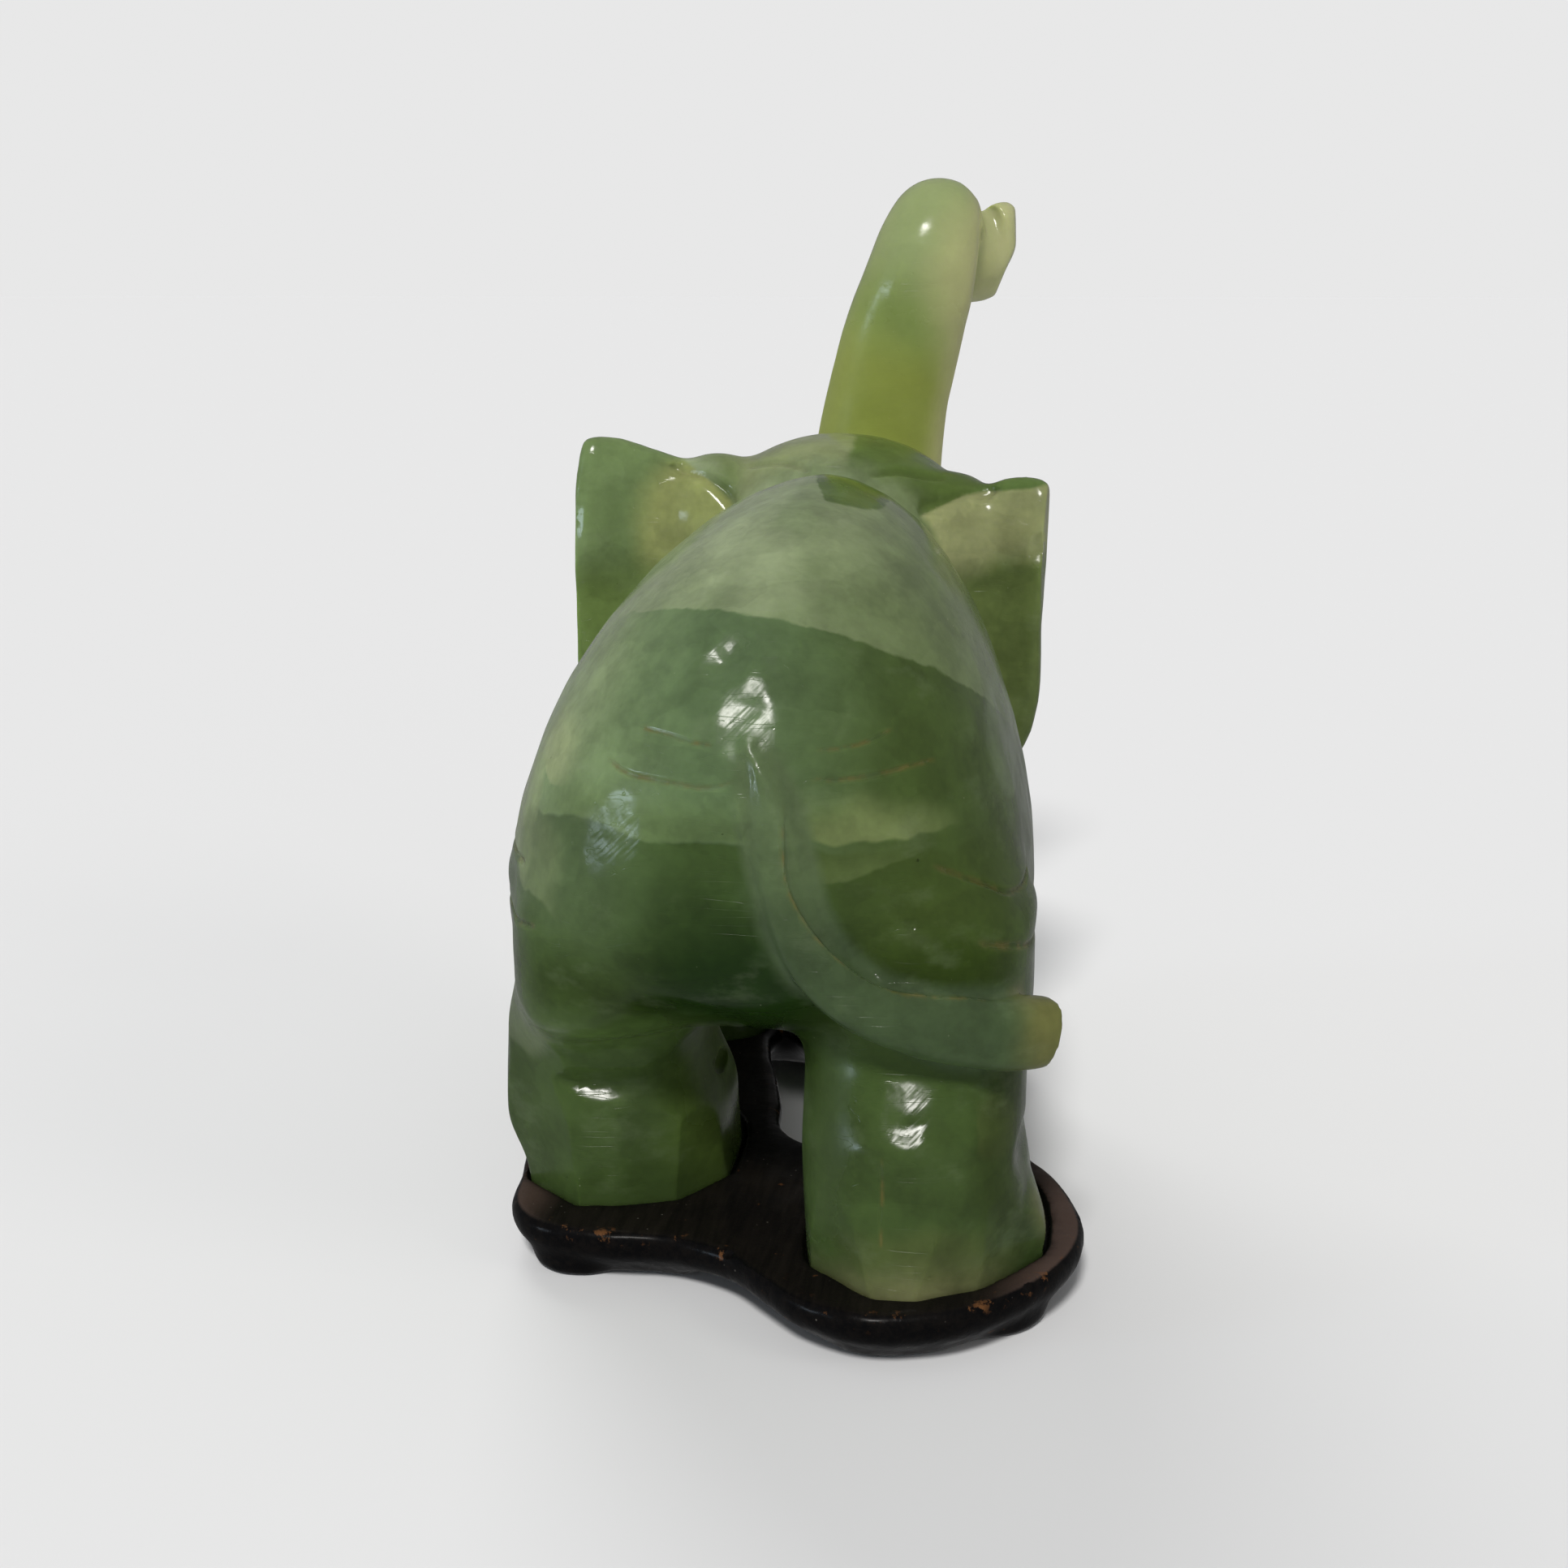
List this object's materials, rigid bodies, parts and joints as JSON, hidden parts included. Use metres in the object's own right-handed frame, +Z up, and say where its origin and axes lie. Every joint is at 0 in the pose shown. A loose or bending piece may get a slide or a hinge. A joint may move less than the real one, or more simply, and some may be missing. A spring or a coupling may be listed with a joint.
{
  "type": "jade elephant figurine",
  "caption": "Carved jade elephant walking with its trunk raised, standing in the foot recesses of a waisted dark wooden stand.",
  "frame": {"origin": "centre of the bounding box's base, on the table under the stand", "axes": "-Y the way the elephant faces, +X its left side, +Z up"},
  "size_m": [0.0995, 0.1802, 0.1745],
  "materials": {
    "jade": "polished translucent green stone with pale and deep green clouds",
    "black_wood": "near-black lacquered wood, worn brown on the deck and its edge"
  },
  "bodies": {
    "root": {"jade_elephant": "jade", "wooden_stand": "black_wood"}
  },
  "joints": []
}
